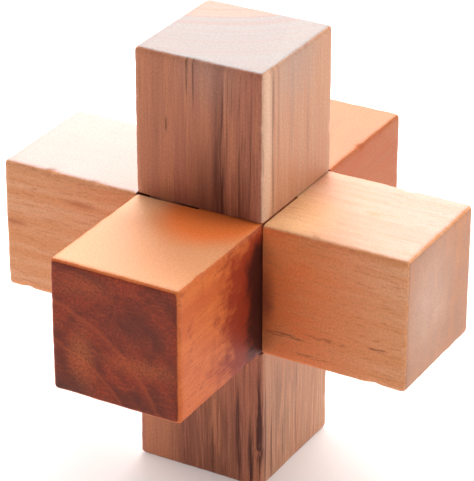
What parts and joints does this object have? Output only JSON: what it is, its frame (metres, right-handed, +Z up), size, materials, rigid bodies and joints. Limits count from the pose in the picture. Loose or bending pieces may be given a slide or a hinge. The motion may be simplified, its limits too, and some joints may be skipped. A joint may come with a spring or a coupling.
{
  "type": "wooden burr puzzle",
  "caption": "Burr puzzle of equal square wooden sticks crossing at right angles; the upright key stick has a round neck and turns to lock or release the others.",
  "frame": {"origin": "centre of the cross, where the middle lines of the sticks meet", "axes": "+Z up along the key stick, which stands on its -Z end; +X along the pale stick; +Y along the red stick, whose -Y end faces front"},
  "size_m": [0.08, 0.08, 0.08],
  "materials": {
    "streaked_brown_wood": "sanded smooth, thin satin oil",
    "pale_wood": "sanded smooth, thin satin oil",
    "red_wood": "sanded smooth, thin satin oil"
  },
  "bodies": {
    "red": {"red_stick": "red_wood"},
    "key": {"key_stick": "streaked_brown_wood"},
    "pale": {"pale_stick": "pale_wood"}
  },
  "joints": [
    {"name": "key_turn", "type": "hinge", "parent": "red", "child": "key", "pos_m": [-0.00625, -0.00625, 0], "axis": [0, 0, 1], "continuous": true},
    {"name": "pale_lift", "type": "slide", "parent": "red", "child": "pale", "axis": [0, 0, 1], "range_m": [0, 0.0002]}
  ]
}
